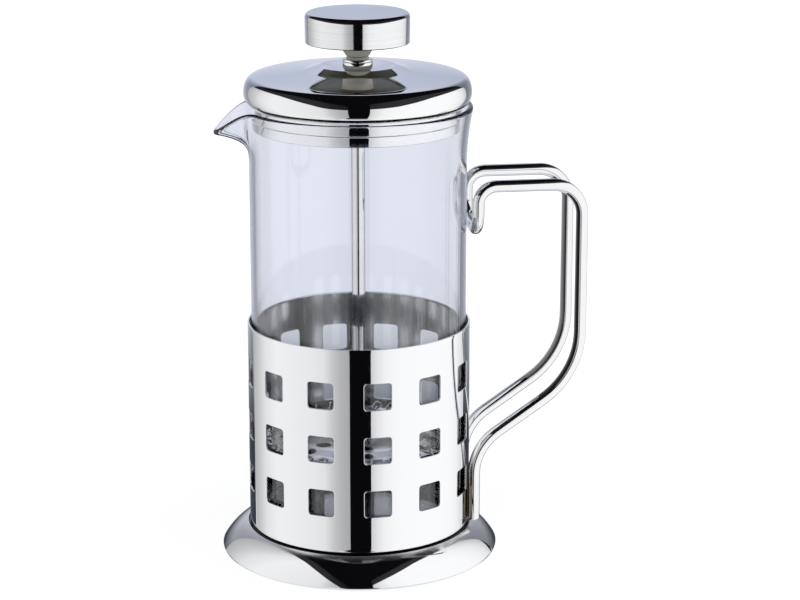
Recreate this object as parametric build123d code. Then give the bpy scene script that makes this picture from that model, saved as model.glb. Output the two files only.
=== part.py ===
from build123d import *
import math
import os

# Millimetres. +Z is up, +X points to the handle, and the origin is on the table under the axis.

# Foot: one spinning with a bell flare and a raised floor
foot_radius = 45.4
foot_edge_round = 1.0
foot_height = 9.4
foot_bell_radius = 19.6
foot_sheet = 0.8
foot_hem_width = 1.8
floor_step = 1.3

# Sleeve
sleeve_radius = 36.3
sleeve_sheet = 0.6
sleeve_height = 67.6
sleeve_fit = 0.05

# Windows in the sleeve
window_size = 8.8
window_corner = 1.0
window_rows = 3
window_row_pitch = 17.85
window_first_height = 16.3
window_columns = 11
window_column_angle = 29.3
window_start_angle = -28.65

# Handle wire, with heights above the foot
wire_diameter = 4.0
wire_spacing = 23.7
wire_seat_gap = 0.02
handle_end_height = 1.6
handle_lower_bend_height = 25.7
handle_upper_bend_height = 49.8
handle_top_height = 113.4
handle_tail_drop = 15.2
handle_reach = 71.2
handle_glass_gap = 0.35
bend_at_sleeve = 17.5
bend_at_grip = 28.0
bend_at_top = 10.0
bend_at_tail = 5.8
bend_of_tail_loop = 7.5

# Glass beaker
glass_radius = 35.0
glass_wall = 1.8
glass_floor = 2.4
glass_corner = 6.0
glass_height = 137.4
flare_length = 19.6
flare_out = 2.1

# Spout, drawn out of the rim on the side away from the handle
spout_reach = 8.9
spout_tip_round = 2.8
spout_width = 31.0
spout_scoop = 6.4
spout_depth = 15.2
spout_edge_round = 2.0
spout_lip_slope = 36.0
spout_lip_inset = 1.4

# Lid shell
lid_radius = 36.55
lid_sheet = 0.6
lid_height = 11.0
lid_widest_height = 4.3
lid_shoulder_width = 4.35
lid_shoulder_height = 5.6
lid_edge_inset = 1.2
lid_hem = 1.3
lid_rest_gap = 0.2
lid_hub_radius = 6.6
lid_crease_radius = 13.0
lid_crease_rise = 0.5

# Lid skirt
skirt_radius = 33.3
skirt_sheet = 0.6
skirt_drop = 7.0
skirt_flange = 1.3

# Guide collar with its seat, bush and nut
collar_radius = 4.95
collar_height = 2.0
collar_groove = 0.35
collar_stem_radius = 3.4
collar_stem_length = 5.6
collar_bore_radius = 2.8
collar_hole_gap = 0.1
seat_height = 1.8
seat_foot_radius = 4.1
seat_top_radius = 4.75
seat_bulge = 0.25
seat_fit = 0.05
bush_fit = 0.02
bush_recess = 0.2
nut_width = 10.0
nut_height = 2.4
nut_fit = 0.02

# Plunger rod
rod_radius = 2.2
rod_thread_radius = 2.0
rod_knob_thread = 7.5
rod_running_gap = 0.06
rod_seat_gap = 0.9

# Spring plate, hung on the rod below the collar
filter_depth = 124.3
plate_nut_width = 7.0
plate_nut_height = 3.2
plate_sheet = 0.6
plate_dish = 0.9
plate_dish_width = 6.0
plate_edge = 1.3
inner_hole_count = 8
inner_hole_radius = 2.4
inner_hole_circle = 18.4
outer_hole_count = 16
outer_hole_radius = 1.6
outer_hole_circle = 24.8

# Rim spring, threaded through eyes in the edge of the spring plate
spring_wire = 0.6
spring_coil_radius = 1.55
spring_turns = 36
spring_wire_sides = 6
spring_end_gap = 0.15
spring_wall_gap = 0.4
spring_eye_gap = 0.45

# Mesh screen, cross plate and its hub
mesh_sheet = 0.4
mesh_wall_gap = 0.5
mesh_lip = 0.9
mesh_drop = 2.3
stack_gap = 0.1
cross_radius = 29.0
cross_sheet = 0.8
cross_lip = 1.4
cross_hole_count = 6
cross_hole_radius = 5.6
cross_hole_circle = 19.4
hub_radius = 4.6
hub_height = 4.2
hub_flange_radius = 6.6
hub_flange_height = 0.9
hub_fit = 0.02

# Knob
knob_radius = 16.8
knob_height = 10.4
knob_sheet = 0.7
knob_edge_round = 1.6
core_recess = 0.5
core_fit = 0.03
stub_top_radius = 4.75
stub_bottom_radius = 3.0
stub_height = 4.6
stub_spigot_radius = 3.4
stub_spigot_height = 1.6
insert_radius = 3.2
insert_height = 5.6

# Heights and radii worked out from the sizes above
floor_z = foot_height + floor_step
sleeve_top_z = foot_height + sleeve_height
rim_z = floor_z + glass_height
glass_bore = glass_radius - glass_wall
rim_radius = glass_radius + flare_out
lid_z = rim_z + lid_rest_gap
lid_top_z = lid_z + lid_height
collar_z = lid_top_z + seat_height
collar_top_z = collar_z + collar_height
stub_z = collar_top_z + rod_seat_gap
knob_z = stub_z + stub_height
core_z = knob_z + core_recess
rod_top_z = knob_z + rod_knob_thread
plate_z = collar_top_z - filter_depth
spring_circle = glass_bore - spring_wall_gap - spring_wire / 2 - spring_coil_radius
eye_circle = spring_circle - spring_coil_radius
eye_radius = spring_wire / 2 + spring_eye_gap
plate_radius = eye_circle + plate_edge
plate_edge_z = plate_z - plate_dish - plate_sheet
spring_z = plate_edge_z + plate_sheet / 2
mesh_z = plate_edge_z - mesh_drop
cross_top_z = mesh_z - stack_gap
cross_z = cross_top_z - cross_sheet
hub_z = cross_z - hub_flange_height
rod_end_z = cross_top_z - hub_height


def turned(outline):
    """Solid of revolution from a closed outline drawn with radius along X and height along Y."""
    return revolve(Rot(90, 0, 0) * make_face(outline), Axis.Z)


def pressed(path, sheet, side):
    """Spun sheet metal: the drawn profile is thickened to one side and turned about the axis."""
    return turned(Wire(path.edges()).offset_2d(sheet, kind=Kind.INTERSECTION, side=side).edges())


def disc(radius, low, high):
    """Upright cylinder on the axis between two heights."""
    return Pos(0, 0, low) * Cylinder(radius, high - low, align=(Align.CENTER, Align.CENTER, Align.MIN))


def hex_nut(width, low, height, bore):
    """Hexagon nut on the axis, measured across its flats."""
    flats = extrude(RegularPolygon(width / 2, 6, major_radius=False), height)
    return Pos(0, 0, low) * flats - disc(bore, low, low + height)


def ring_of_drills(count, radius, circle, low, high):
    """Upright drills spaced evenly on a circle."""
    drill = Pos(circle, 0, 0) * disc(radius, low, high)
    return [Rot(0, 0, 360.0 * (i + 0.5) / count) * drill for i in range(count)]


def make_foot():
    step_radius = sleeve_radius - sleeve_sheet - sleeve_fit
    edge_x = foot_radius - foot_edge_round
    with BuildLine() as path:
        Polyline(
            (0, floor_z), (step_radius, floor_z), (step_radius, foot_height), (sleeve_radius, foot_height)
        )
        RadiusArc((sleeve_radius, foot_height), (foot_radius, foot_edge_round), foot_bell_radius)
        RadiusArc((foot_radius, foot_edge_round), (edge_x, 0), foot_edge_round)
        Line((edge_x, 0), (edge_x - foot_hem_width, 0))
    return pressed(path.line, foot_sheet, Side.RIGHT)


def make_sleeve():
    band = disc(sleeve_radius, foot_height, sleeve_top_z)
    band -= disc(sleeve_radius - sleeve_sheet, foot_height, sleeve_top_z)
    outline = RectangleRounded(window_size, window_size, window_corner)
    window = Rot(0, 90, 0) * extrude(outline, 2 * sleeve_radius)
    cutters = []
    for row in range(window_rows):
        height = foot_height + window_first_height + row * window_row_pitch
        for column in range(window_columns):
            angle = window_start_angle - column * window_column_angle
            cutters.append(Rot(0, 0, angle) * Pos(0, 0, height) * window)
    return band - cutters


def make_handle():
    half = wire_spacing / 2
    wire_radius = wire_diameter / 2
    weld_x = math.sqrt((sleeve_radius + wire_radius + wire_seat_gap) ** 2 - half**2)
    tail_x = glass_radius + handle_glass_gap + wire_radius
    leg = [
        (weld_x, handle_end_height),
        (weld_x, handle_lower_bend_height),
        (handle_reach, handle_upper_bend_height),
        (handle_reach, handle_top_height),
        (tail_x, handle_top_height),
        (tail_x, handle_top_height - handle_tail_drop),
    ]
    bends = [bend_at_sleeve, bend_at_grip, bend_at_top, bend_at_tail, bend_of_tail_loop]
    near = [(x, -half, foot_height + z) for x, z in leg]
    far = [(x, half, foot_height + z) for x, z in reversed(leg)]
    path = FilletPolyline(*near, *far, radius=bends + bends[::-1])
    return sweep(Plane(path @ 0, z_dir=path % 0) * Circle(wire_radius), path=path)


def glass_face(radius, corner, low):
    """One face of the glass in profile, from the axis up the wall to the start of the rim."""
    bend = flare_length**2 / (2 * flare_out)
    flare_z = rim_z - flare_length
    with BuildLine() as path:
        Line((0, low), (radius - corner, low))
        RadiusArc((radius - corner, low), (radius, low + corner), -corner)
        Line((radius, low + corner), (radius, flare_z))
        RadiusArc((radius, flare_z), (radius + flare_out, rim_z - glass_wall / 2), bend)
    return path.line


def spout_beak(inset):
    """Pointed spout as a solid: a wedge in plan with a round tip, scooped out underneath."""
    tip_round = spout_tip_round - inset / 2
    tip_x = inset - rim_radius - spout_reach
    root = Vector(-glass_bore, spout_width / 2 - inset)
    reach = Vector(tip_x + tip_round, 0) - root
    lean = math.atan2(reach.Y, reach.X) - math.asin(tip_round / reach.length)
    run = math.sqrt(reach.length**2 - tip_round**2)
    touch = root + Vector(math.cos(lean), math.sin(lean)) * run
    with BuildLine() as plan:
        Line(root, touch)
        ThreePointArc(touch, (tip_x, 0), (touch.X, -touch.Y))
        Polyline((touch.X, -touch.Y), (root.X, -root.Y), root)
    low = rim_z - spout_depth
    wedge = Pos(0, 0, low) * extrude(make_face(plan.line), spout_depth)
    scoop = Rot(90, 0, 0) * Cylinder(spout_scoop + inset, 4 * spout_width)
    return wedge - Pos(-glass_radius - spout_scoop, 0, low) * scoop


def make_beaker():
    low = floor_z + glass_floor
    outer = glass_face(glass_radius, glass_corner, floor_z)
    inner = glass_face(glass_bore, glass_corner - glass_wall, low)
    rim = ThreePointArc(outer @ 1, (rim_radius - glass_wall / 2, rim_z), inner @ 1)
    wall = turned(outer.edges() + [rim, Line((0, floor_z), (0, low))] + inner.edges())
    mouth = Polyline(inner @ 1, (rim_radius - glass_wall, rim_z), (0, rim_z), (0, low))
    inside = turned(inner.edges() + mouth.edges())
    spout = spout_beak(0)
    under = [edge for edge in spout.edges() if edge.geom_type in (GeomType.ELLIPSE, GeomType.BSPLINE)]
    spout = fillet(under, spout_edge_round)
    above_lip = Rot(0, -spout_lip_slope, 0) * Box(
        2 * rim_radius, 2 * rim_radius, 2 * spout_depth, align=(Align.MAX, Align.CENTER, Align.MIN)
    )
    spout -= Pos(spout_lip_inset - rim_radius, 0, rim_z) * above_lip
    return wall + spout - inside - spout_beak(glass_wall)


def make_lid_shell():
    widest_z = lid_z + lid_widest_height
    crown_x = lid_radius - lid_shoulder_width
    crown_z = widest_z + lid_shoulder_height
    edge_x = lid_radius - lid_edge_inset
    hem_x = edge_x - lid_hem
    hole_x = collar_stem_radius + collar_hole_gap
    curl = (lid_widest_height**2 + lid_edge_inset**2) / (2 * lid_edge_inset)
    with BuildLine() as outline:
        for depth in (0, lid_sheet):
            Polyline(
                (hole_x, lid_top_z - depth),
                (lid_hub_radius, lid_top_z - depth),
                (lid_crease_radius, lid_top_z + lid_crease_rise - depth),
                (crown_x, crown_z - depth),
            )
            EllipticalCenterArc(
                (crown_x, widest_z),
                lid_shoulder_width - depth,
                lid_shoulder_height - depth,
                90,
                arc_size=-90,
            )
            RadiusArc((lid_radius - depth, widest_z), (edge_x - depth, lid_z + depth), curl)
            Line((edge_x - depth, lid_z + depth), (hem_x, lid_z + depth))
        Line((hole_x, lid_top_z), (hole_x, lid_top_z - lid_sheet))
        Line((hem_x, lid_z), (hem_x, lid_z + lid_sheet))
    return turned(outline.line)


def make_lid_skirt():
    flange_z = lid_z + lid_sheet
    with BuildLine() as path:
        Polyline(
            (skirt_radius, lid_z - skirt_drop),
            (skirt_radius, flange_z),
            (skirt_radius + skirt_flange, flange_z),
        )
    return pressed(path.line, skirt_sheet, Side.LEFT)


def make_guide_collar():
    stem_z = collar_z - collar_stem_length
    mid_z = collar_z + collar_height / 2
    waist = collar_radius - collar_groove
    with BuildLine() as path:
        Polyline(
            (collar_bore_radius, stem_z),
            (collar_stem_radius, stem_z),
            (collar_stem_radius, collar_z),
            (waist, collar_z),
        )
        ThreePointArc((waist, collar_z), (collar_radius, (collar_z + mid_z) / 2), (waist, mid_z))
        ThreePointArc((waist, mid_z), (collar_radius, (mid_z + collar_top_z) / 2), (waist, collar_top_z))
        Polyline((waist, collar_top_z), (collar_bore_radius, collar_top_z), (collar_bore_radius, stem_z))
    return turned(path.line)


def make_collar_seat():
    bore = collar_stem_radius + seat_fit
    belly = ((seat_foot_radius + seat_top_radius) / 2 + seat_bulge, (lid_top_z + collar_z) / 2)
    with BuildLine() as path:
        Polyline((seat_top_radius, collar_z), (bore, collar_z), (bore, lid_top_z), (seat_foot_radius, lid_top_z))
        ThreePointArc((seat_foot_radius, lid_top_z), belly, (seat_top_radius, collar_z))
    return turned(path.line)


def make_guide_bush():
    low = collar_z - collar_stem_length
    high = collar_top_z - bush_recess
    return disc(collar_bore_radius - bush_fit, low, high) - disc(rod_radius + rod_running_gap, low, high)


def make_collar_nut():
    top = lid_top_z - lid_sheet
    return hex_nut(nut_width, top - nut_height, nut_height, collar_stem_radius + nut_fit)


def make_plunger_rod():
    shoulder_z = plate_z + plate_nut_height
    rod = disc(rod_radius, shoulder_z, stub_z)
    return rod + disc(rod_thread_radius, rod_end_z, shoulder_z) + disc(rod_thread_radius, stub_z, rod_top_z)


def make_plate_nut():
    return hex_nut(plate_nut_width, plate_z, plate_nut_height, rod_thread_radius)


def make_spring_plate():
    step_x = eye_circle - eye_radius - plate_dish_width
    with BuildLine() as path:
        Polyline(
            (rod_thread_radius, plate_z),
            (step_x, plate_z),
            (step_x + plate_dish_width / 2, plate_z - plate_dish),
            (plate_radius, plate_z - plate_dish),
        )
    plate = pressed(path.line, plate_sheet, Side.RIGHT)
    low = plate_edge_z
    high = plate_z
    holes = ring_of_drills(inner_hole_count, inner_hole_radius, inner_hole_circle, low, high)
    holes += ring_of_drills(outer_hole_count, outer_hole_radius, outer_hole_circle, low, high)
    holes += ring_of_drills(spring_turns, eye_radius, eye_circle, low, high)
    return plate - holes


def spring_point(turn):
    """Point on the middle of the spring's wire, after a number of turns of the coil."""
    round_rim = math.radians(360.0 * turn / spring_turns)
    curl = 2 * math.pi * turn
    out = spring_circle + spring_coil_radius * math.cos(curl)
    height = spring_z + spring_coil_radius * math.sin(curl)
    return Vector(out * math.cos(round_rim), out * math.sin(round_rim), height)


def spring_direction(turn):
    """Direction of the wire there."""
    step = 0.001
    return (spring_point(turn + step) - spring_point(turn - step)).normalized()


def biarc(start, leave, end, arrive):
    """Two tangent arcs from one point and direction to another."""
    chord = end - start
    spread = 2 * (1 - leave.dot(arrive))
    lean = chord.dot(leave + arrive)
    arm = (math.sqrt(lean**2 + spread * chord.dot(chord)) - lean) / spread
    first = start + leave * arm
    last = end - arrive * arm
    middle = (first + last) / 2
    return [
        Edge.make_tangent_arc(start, leave, middle),
        Edge.make_tangent_arc(middle, (last - first).normalized(), end),
    ]


def spring_self_gap():
    """Least distance between neighbouring turns of the wire, measured on points."""
    per_turn = 24
    points = [spring_point(i / per_turn) for i in range(2 * per_turn + 1)]
    pairs = ((p, q) for i, p in enumerate(points) for q in points[i + per_turn // 2 :])
    return min((p - q).length for p, q in pairs) - spring_wire


def make_rim_spring():
    half_turns = [n / 2 for n in range(1, 2 * spring_turns)]
    stops = [spring_end_gap] + half_turns + [spring_turns - spring_end_gap]
    places = [(spring_point(turn), spring_direction(turn)) for turn in stops]
    edges = []
    for (start, leave), (end, arrive) in zip(places, places[1:]):
        edges += biarc(start, leave, end, arrive)
    first, leave = places[0]
    last, arrive = places[-1]
    edges = [Edge.make_line(first - leave * spring_wire, first)] + edges
    edges.append(Edge.make_line(last, last + arrive * spring_wire))
    path = Wire(edges)
    section = Plane(path @ 0, z_dir=path % 0) * RegularPolygon(spring_wire / 2, spring_wire_sides)
    return Solid.sweep(section.face(), path=path)


def make_mesh_screen():
    edge = glass_bore - mesh_wall_gap
    with BuildLine() as path:
        Polyline((rod_thread_radius, mesh_z), (edge, mesh_z), (edge, mesh_z + mesh_lip))
    return pressed(path.line, mesh_sheet, Side.LEFT)


def make_cross_plate():
    with BuildLine() as path:
        Polyline(
            (hub_radius + hub_fit, cross_top_z),
            (cross_radius, cross_top_z),
            (cross_radius, cross_top_z - cross_lip),
        )
    plate = pressed(path.line, cross_sheet, Side.RIGHT)
    holes = ring_of_drills(cross_hole_count, cross_hole_radius, cross_hole_circle, cross_z, cross_top_z)
    return plate - holes


def make_cross_hub():
    hub = disc(hub_radius, rod_end_z, cross_top_z) + disc(hub_flange_radius, hub_z, cross_z)
    return hub - disc(rod_thread_radius + rod_running_gap, rod_end_z, cross_top_z)


def make_knob_cap():
    top = knob_z + knob_height
    flat_x = knob_radius - knob_edge_round
    with BuildLine() as path:
        Line((0, top), (flat_x, top))
        RadiusArc((flat_x, top), (knob_radius, top - knob_edge_round), knob_edge_round)
        Line((knob_radius, top - knob_edge_round), (knob_radius, knob_z))
    return pressed(path.line, knob_sheet, Side.RIGHT)


def make_knob_core():
    radius = knob_radius - knob_sheet - core_fit
    top = knob_z + knob_height - knob_sheet
    core = disc(radius, core_z, top)
    core = fillet(core.edges().group_by(Axis.Z)[-1], knob_edge_round)
    core -= disc(stub_spigot_radius, core_z, core_z + stub_spigot_height)
    return core - disc(insert_radius, core_z, core_z + stub_spigot_height + insert_height)


def make_knob_stub():
    cone = Pos(0, 0, stub_z) * Cone(
        stub_bottom_radius,
        stub_top_radius,
        core_z - stub_z,
        align=(Align.CENTER, Align.CENTER, Align.MIN),
    )
    stub = cone + disc(stub_spigot_radius, core_z, core_z + stub_spigot_height)
    return stub - disc(rod_thread_radius + rod_running_gap, stub_z, core_z + stub_spigot_height)


def make_knob_insert():
    low = core_z + stub_spigot_height
    high = low + insert_height
    return disc(insert_radius, low, high) - disc(rod_thread_radius + rod_running_gap, low, high)


makers = {
    "foot": make_foot,
    "sleeve": make_sleeve,
    "handle": make_handle,
    "beaker": make_beaker,
    "lid_shell": make_lid_shell,
    "lid_skirt": make_lid_skirt,
    "guide_collar": make_guide_collar,
    "collar_seat": make_collar_seat,
    "guide_bush": make_guide_bush,
    "collar_nut": make_collar_nut,
    "plunger_rod": make_plunger_rod,
    "plate_nut": make_plate_nut,
    "spring_plate": make_spring_plate,
    "rim_spring": make_rim_spring,
    "mesh_screen": make_mesh_screen,
    "cross_plate": make_cross_plate,
    "cross_hub": make_cross_hub,
    "knob_cap": make_knob_cap,
    "knob_core": make_knob_core,
    "knob_stub": make_knob_stub,
    "knob_insert": make_knob_insert,
}

os.makedirs("parts", exist_ok=True)
for node, maker in makers.items():
    export_step(maker(), f"parts/{node}.step")
print(f"least gap between the spring's turns: {spring_self_gap():.2f} mm")
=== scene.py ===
import math

import bmesh
import bpy
import numpy as np
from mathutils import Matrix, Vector


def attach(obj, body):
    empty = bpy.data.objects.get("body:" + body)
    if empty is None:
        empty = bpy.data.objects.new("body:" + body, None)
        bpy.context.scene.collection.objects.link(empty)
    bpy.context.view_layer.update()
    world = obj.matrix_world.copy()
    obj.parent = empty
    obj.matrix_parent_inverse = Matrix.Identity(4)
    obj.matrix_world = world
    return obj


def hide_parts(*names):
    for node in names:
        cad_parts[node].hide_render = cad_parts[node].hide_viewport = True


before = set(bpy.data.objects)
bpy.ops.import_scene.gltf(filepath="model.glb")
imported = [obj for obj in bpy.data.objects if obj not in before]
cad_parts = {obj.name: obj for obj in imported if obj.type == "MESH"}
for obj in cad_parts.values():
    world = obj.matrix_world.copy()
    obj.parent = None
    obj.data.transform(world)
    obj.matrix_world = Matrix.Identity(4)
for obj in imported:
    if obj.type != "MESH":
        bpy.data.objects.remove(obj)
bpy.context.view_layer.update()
mm = 0.001  # sizes below are in millimetres, meshes in metres
tiny = 1e-9
print("frame loaded:", len(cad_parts), "nodes")


# mesh helpers

def quads(rows, wide, start=0, ring=True, closed=False):
    # faces between rows of vertices; a ring joins a row's ends, closed joins the last row to the first
    faces = []
    for i in range(rows if closed else rows - 1):
        here, above = start + i * wide, start + (i + 1) % rows * wide
        for k in range(wide if ring else wide - 1):
            n = (k + 1) % wide
            faces.append((here + k, here + n, above + n, above + k))
    return faces


def meshObject(name, verts, faces, sharpAngle=32):
    mesh = bpy.data.meshes.new(name)
    mesh.from_pydata([tuple(v) for v in verts], [], faces)
    work = bmesh.new()
    work.from_mesh(mesh)
    bmesh.ops.remove_doubles(work, verts=work.verts, dist=1e-7)
    bmesh.ops.dissolve_degenerate(work, edges=work.edges, dist=1e-8)
    bmesh.ops.recalc_face_normals(work, faces=work.faces)
    work.to_mesh(mesh)
    work.free()
    piece = bpy.data.objects.new(name, mesh)
    bpy.context.scene.collection.objects.link(piece)
    smoothShade(piece, sharpAngle)
    return piece


def smoothShade(piece, sharpAngle):
    mesh = piece.data
    mesh.polygons.foreach_set("use_smooth", [True] * len(mesh.polygons))
    mesh.set_sharp_from_angle(angle=math.radians(sharpAngle))


def bake(piece):
    # modifiers become plain mesh, so the piece carries none
    view = bpy.context.evaluated_depsgraph_get()
    mesh = bpy.data.meshes.new_from_object(piece.evaluated_get(view))
    piece.modifiers.clear()
    old = piece.data
    piece.data = mesh
    bpy.data.meshes.remove(old)


def lathe(name, outline, steps=288):
    # turns a closed outline of (radius, height) about the axis
    points = np.array(outline, float) * mm
    angles = np.linspace(0, 2 * math.pi, steps, endpoint=False)
    verts = [(r * math.cos(a), r * math.sin(a), z) for r, z in points for a in angles]
    onAxis = points[0][0] < tiny and points[-1][0] < tiny
    return meshObject(name, verts, quads(len(points), steps, closed=not onAxis))


def unit(vectors):
    return vectors / np.linalg.norm(vectors, axis=-1, keepdims=True)


def bent(corners, bends, step):
    # a line through the corners, flat or in space, that turns each corner with its own bend
    points = [tuple(corners[0])]
    for before, here, after, bend in zip(corners, corners[1:], corners[2:], bends):
        spot = Vector(here)
        if bend == 0:
            points.append(tuple(spot))
            continue
        back, ahead = [(Vector(p) - spot).normalized() for p in (before, after)]
        half = back.angle(ahead) / 2
        centre = spot + (back + ahead).normalized() * (bend / math.sin(half))
        first, last = [spot + way * (bend / math.tan(half)) - centre for way in (back, ahead)]
        turn = math.pi - 2 * half
        count = max(3, int(round(math.degrees(turn), 3) / step) + 1)
        for share in np.linspace(0, 1, count + 1):
            arm = first * math.sin((1 - share) * turn) + last * math.sin(share * turn)
            points.append(tuple(centre + arm / math.sin(turn)))
    return points + [tuple(corners[-1])]


def rounded(corners, step=7.0):
    # corners are (radius, height) or (radius, height, bend)
    bends = [corner[2] if len(corner) > 2 else 0 for corner in corners[1:-1]]
    return bent([corner[:2] for corner in corners], bends, step)


def pressed(face, sheet):
    # closes a sheet: its drawn face, half-round edges, and the face set back on the right of travel
    face = np.array(face, float)
    apart = np.linalg.norm(np.diff(face, axis=0), axis=1) > 1e-6
    face = face[np.concatenate([[True], apart])]
    run = unit(np.diff(face, axis=0))
    lead, trail = np.vstack([run[:1], run]), np.vstack([run, run[-1:]])
    side = unit(lead + trail)
    stretch = 1 / np.maximum((side * trail).sum(1), 0.4)
    back = face + np.stack([side[:, 1], -side[:, 0]], 1) * (sheet * stretch)[:, None]
    back[face[:, 0] < tiny, 0] = 0
    edge = halfRound(face[-1], back[-1], run[-1])
    start = halfRound(back[0], face[0], -run[0]) if face[0][0] > tiny else []
    return [*face, *edge, *back[::-1], *start]


def halfRound(first, last, outward, count=6):
    middle, arm = (first + last) / 2, (first - last) / 2
    reach = outward * np.linalg.norm(arm, axis=-1, keepdims=True)
    turns = np.linspace(0, math.pi, count + 1)[1:-1]
    return [middle + arm * math.cos(t) + reach * math.sin(t) for t in turns]


def roundArc(centre, radius, fromDegrees, toDegrees, count):
    turns = np.radians(np.linspace(fromDegrees, toDegrees, count))
    return [(centre[0] + radius * math.cos(t), centre[1] + radius * math.sin(t)) for t in turns]


def circleArc(start, end, bend, count):
    # bulges to the left of travel for a positive bend
    a, b = np.array(start, float), np.array(end, float)
    chord = b - a
    length = np.hypot(*chord)
    side = np.array([-chord[1], chord[0]]) / length * math.copysign(1, bend)
    centre = (a + b) / 2 - side * math.sqrt(bend**2 - length**2 / 4)
    first, last = [math.degrees(math.atan2(*(spot - centre)[::-1])) for spot in (a, b)]
    turn = (last - first + 180) % 360 - 180
    return roundArc(centre, abs(bend), first, first + turn, count + 1)


def smoothLine(points, count):
    # natural cubic through the points, sampled evenly along the chord
    p = np.array(points, float)
    far = np.concatenate([[0], np.cumsum(np.hypot(*np.diff(p, axis=0).T))])
    gap = np.diff(far)
    matrix, right = np.eye(len(p)), np.zeros_like(p)
    for i in range(1, len(p) - 1):
        matrix[i, i - 1:i + 2] = gap[i - 1], 2 * (gap[i - 1] + gap[i]), gap[i]
        right[i] = 6 * ((p[i + 1] - p[i]) / gap[i] - (p[i] - p[i - 1]) / gap[i - 1])
    bend = np.linalg.solve(matrix, right)
    stops = np.linspace(0, far[-1], count)
    i = np.clip(np.searchsorted(far, stops) - 1, 0, len(p) - 2)
    u, v, h = (stops - far[i])[:, None], (far[i + 1] - stops)[:, None], gap[i][:, None]
    line = (bend[i] * v**3 + bend[i + 1] * u**3) / (6 * h)
    return [*(line + (p[i] / h - bend[i] * h / 6) * v + (p[i + 1] / h - bend[i + 1] * h / 6) * u)]


def finishPiece(piece, body, nodes, material):
    piece.data.materials.clear()
    piece.data.materials.append(material)
    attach(piece, body)
    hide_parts(*nodes)


# node helpers

def feed(tree, socket, value):
    # a socket takes a value, or a link from another node's socket
    if isinstance(value, bpy.types.NodeSocket):
        tree.links.new(value, socket)
    else:
        socket.default_value = value


def node(tree, kind, *feeds, **settings):
    # settings go by name, feeds to the sockets in order
    made = tree.nodes.new(kind)
    for key, value in settings.items():
        if key in made.inputs:
            feed(tree, made.inputs[key], value)
        else:
            setattr(made, key, value)
    for socket, value in zip(made.inputs, feeds):
        feed(tree, socket, value)
    return made


def maths(tree, operation, *feeds):
    return node(tree, "ShaderNodeMath", *feeds, operation=operation).outputs[0]


def vectorMaths(tree, operation, result, *feeds):
    return node(tree, "ShaderNodeVectorMath", *feeds, operation=operation).outputs[result]


def coords(tree, kind="Object"):
    return node(tree, "ShaderNodeTexCoord").outputs[kind]


def heightOf(tree, spot):
    return node(tree, "ShaderNodeSeparateXYZ", spot).outputs["Z"]


def fromAxis(tree):
    # distance from the axis of the press
    flat = vectorMaths(tree, "MULTIPLY", "Vector", coords(tree), (1, 1, 0))
    return vectorMaths(tree, "LENGTH", "Value", flat)


def objectNoise(tree, stretch, scale=1.0, detail=4.0, rough=0.55):
    mapping = node(tree, "ShaderNodeMapping", coords(tree), Scale=stretch)
    noise = node(tree, "ShaderNodeTexNoise", mapping.outputs["Vector"], Scale=scale, Detail=detail,
                 Roughness=rough)
    return noise.outputs["Fac"]


def spread(tree, source, low, high, fromLow=0.3, fromHigh=0.7):
    return node(tree, "ShaderNodeMapRange", source, fromLow, fromHigh, low, high).outputs["Result"]


def ramp(tree, source, stops):
    # stops are (position, colour)
    made = node(tree, "ShaderNodeValToRGB", source)
    points = made.color_ramp.elements
    while len(points) < len(stops):
        points.new(0.5)
    for point, (position, tone) in zip(points, stops):
        point.position = position
        point.color = (*tone, 1)
    return made.outputs["Color"]


def blend(tree, share, first, second):
    mix = node(tree, "ShaderNodeMix", data_type="RGBA", Factor=share, A=first, B=second)
    return mix.outputs["Result"]


def addBump(tree, source, distance, under=None):
    bump = node(tree, "ShaderNodeBump", Height=source, Distance=distance, Strength=1.0)
    if under is not None:
        feed(tree, bump.inputs["Normal"], under)
    return bump.outputs["Normal"]


def newMaterial(name):
    material = bpy.data.materials.new(name)
    material.use_nodes = True
    tree = material.node_tree
    return material, tree, tree.nodes["Principled BSDF"].inputs


def newTree(name, inputs):
    # inputs: names and kinds of the values that follow the geometry
    tree = bpy.data.node_groups.new(name, "GeometryNodeTree")
    for label, kind in [("Geometry", "Geometry"), *inputs]:
        tree.interface.new_socket(label, in_out="INPUT", socket_type="NodeSocket" + kind)
    tree.interface.new_socket("Geometry", in_out="OUTPUT", socket_type="NodeSocketGeometry")
    return tree, node(tree, "NodeGroupInput").outputs


def endTree(tree, shape, material):
    real = node(tree, "GeometryNodeRealizeInstances", shape)
    paint = node(tree, "GeometryNodeSetMaterial", real.outputs["Geometry"], Material=material)
    node(tree, "NodeGroupOutput", paint.outputs["Geometry"])
    return tree


def useTree(piece, tree, values):
    modifier = piece.modifiers.new(tree.name, "NODES")
    modifier.node_group = tree
    for item in tree.interface.items_tree:
        if item.in_out == "INPUT" and item.name in values:
            modifier[item.identifier] = values[item.name]
    bake(piece)


# materials

def steel(name, tone, polish, smear, waves=None, grain=None):
    # polish: low and high roughness; waves: soft dents of the sheet; grain: fine drawn lines
    material, tree, shader = newMaterial(name)
    shader["Metallic"].default_value = 1.0
    shader["Base Color"].default_value = (*tone, 1)
    rough = spread(tree, objectNoise(tree, (1, 1, 1), scale=smear, detail=6.0), *polish)
    normal = None
    if waves:
        normal = addBump(tree, objectNoise(tree, waves["stretch"], detail=1.0), waves["depth"] * mm)
    if grain:
        lines = objectNoise(tree, grain["stretch"], detail=3.0, rough=0.7)
        normal = addBump(tree, lines, grain["depth"] * mm, under=normal)
        rough = maths(tree, "ADD", rough, spread(tree, lines, -grain["rough"], grain["rough"]))
        dull = [part * (1 - grain["tone"]) for part in tone]
        feed(tree, shader["Base Color"], ramp(tree, lines, [(0.25, dull), (0.75, tone)]))
    feed(tree, shader["Roughness"], rough)
    if normal is not None:
        feed(tree, shader["Normal"], normal)
    return material


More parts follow.
